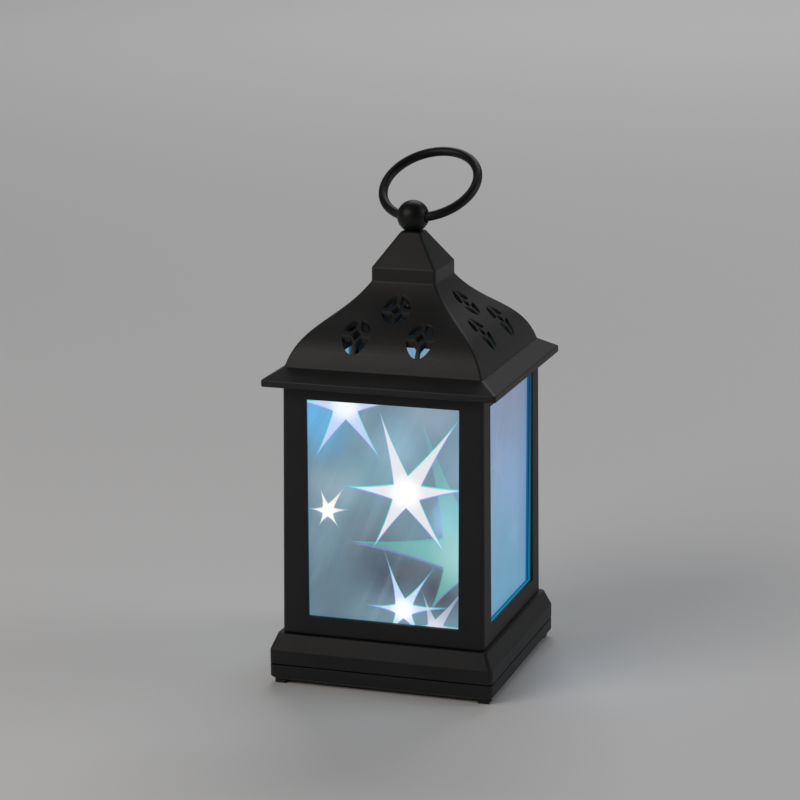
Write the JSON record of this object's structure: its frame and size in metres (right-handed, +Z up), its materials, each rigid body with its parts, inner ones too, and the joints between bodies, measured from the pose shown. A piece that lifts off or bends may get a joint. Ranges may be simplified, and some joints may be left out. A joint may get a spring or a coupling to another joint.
{
  "type": "decorative led lantern",
  "caption": "Square black tabletop LED lantern: star-effect windows, bell-shaped roof with pierced rosettes, ball finial with swinging ring, battery base.",
  "frame": {"origin": "centre of the square footprint, level with the soles of the feet", "axes": "+Z up through the finial, -Y towards the front window, +X to the right seen from the front"},
  "size_m": [0.1112, 0.1112, 0.2419],
  "materials": {
    "black_plastic": "fine-grained matt black",
    "roof_plastic": "fine-grained matt black, slightly warm",
    "finial_plastic": "satin black",
    "foot_rubber": "matt",
    "star_film_panel": "clear panel with star-effect film",
    "zinc_steel": "zinc plated",
    "contact_steel": "nickel plated",
    "cell_jacket": "satin sleeve",
    "board": "solder-resist green",
    "chip": "moulded black",
    "clear_post": "clear",
    "light_epoxy": "clear epoxy drop",
    "string_sheath": "clear sheath over copper",
    "red_insulation": "pvc",
    "black_insulation": "pvc"
  },
  "bodies": {
    "lantern": {"battery_lead_black": "black_insulation", "battery_lead_red": "red_insulation", "board_screw_1": "zinc_steel", "board_screw_2": "zinc_steel", "body_frame": "black_plastic", "body_screw_back_left": "zinc_steel", "body_screw_back_right": "zinc_steel", "body_screw_front_left": "zinc_steel", "body_screw_front_right": "zinc_steel", "bottom_lid": "black_plastic", "cell_1": "cell_jacket", "cell_2": "cell_jacket", "cell_3": "cell_jacket", "chamber_floor": "black_plastic", "contact_back_1": "contact_steel", "contact_back_2_3": "contact_steel", "contact_front_1_2": "contact_steel", "contact_front_3": "contact_steel", "control_board": "board", "foot_back_left": "foot_rubber", "foot_back_right": "foot_rubber", "foot_front_left": "foot_rubber", "foot_front_right": "foot_rubber", "led_1": "light_epoxy", "led_10": "light_epoxy", "led_2": "light_epoxy", "led_3": "light_epoxy", "led_4": "light_epoxy", "led_5": "light_epoxy", "led_6": "light_epoxy", "led_7": "light_epoxy", "led_8": "light_epoxy", "led_9": "light_epoxy", "led_post": "clear_post", "lid_screw_back_left": "zinc_steel", "lid_screw_back_right": "zinc_steel", "lid_screw_front_left": "zinc_steel", "lid_screw_front_right": "zinc_steel", "light_string": "string_sheath", "plinth_shell": "black_plastic", "roof_screw_back_left": "zinc_steel", "roof_screw_back_right": "zinc_steel", "roof_screw_front_left": "zinc_steel", "roof_screw_front_right": "zinc_steel", "roof_shell": "roof_plastic", "switch_body": "zinc_steel", "timer_chip": "chip", "window_panel_back": "star_film_panel", "window_panel_front": "star_film_panel", "window_panel_left": "star_film_panel", "window_panel_right": "star_film_panel"},
    "finial": {"finial_ball": "finial_plastic", "finial_screw": "zinc_steel", "finial_washer": "zinc_steel"},
    "ring": {"ring": "finial_plastic"},
    "battery_door": {"battery_door": "black_plastic"},
    "switch_knob": {"switch_knob": "black_plastic"}
  },
  "joints": [
    {"name": "finial_swivel", "type": "hinge", "parent": "lantern", "child": "finial", "pos_m": [0, 0, 0.21481], "axis": [0, 0, 1], "continuous": true},
    {"name": "ring_swing", "type": "hinge", "parent": "finial", "child": "ring", "pos_m": [0, 0, 0.21481], "axis": [0.9888, -0.1495, 0], "range_deg": [-78, 190]},
    {"name": "door_hinge", "type": "hinge", "parent": "lantern", "child": "battery_door", "pos_m": [0, 0.02685, 0.00335], "axis": [1, 0, 0], "range_deg": [0, 90]},
    {"name": "switch_slide", "type": "slide", "parent": "lantern", "child": "switch_knob", "axis": [1, 0, 0], "range_m": [-0.002, 0.002]}
  ]
}
